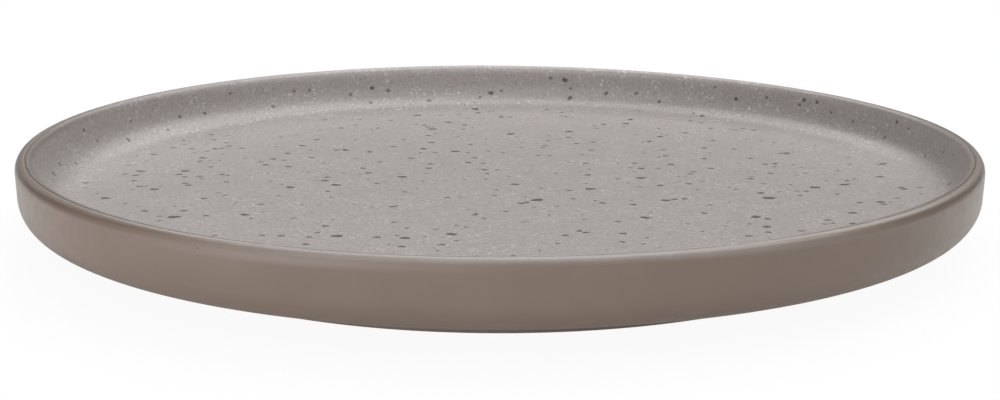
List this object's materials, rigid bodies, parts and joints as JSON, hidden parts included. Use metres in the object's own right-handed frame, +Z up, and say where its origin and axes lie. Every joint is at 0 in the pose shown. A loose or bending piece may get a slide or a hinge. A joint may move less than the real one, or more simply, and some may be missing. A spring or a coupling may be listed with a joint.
{
  "type": "coupe dinner plate",
  "caption": "Round stoneware coupe dinner plate with a flat floor, a coved low wall, a bare rounded lip, speckled grey glaze inside, satin taupe glaze outside and a bare foot ring.",
  "frame": {"origin": "centre of the foot ring's resting plane, on the plate's axis", "axes": "+Z up along the plate's axis of revolution; X and Y are any two level directions"},
  "size_m": [0.27, 0.27, 0.0255],
  "materials": {
    "clay": "bare fired stoneware, matt",
    "speckled_glaze": "satin warm grey with iron specks",
    "satin_glaze": "smooth satin taupe"
  },
  "bodies": {
    "root": {"stoneware_body": "clay", "inner_glaze": "speckled_glaze", "outer_glaze": "satin_glaze", "base_glaze": "satin_glaze"}
  },
  "joints": []
}
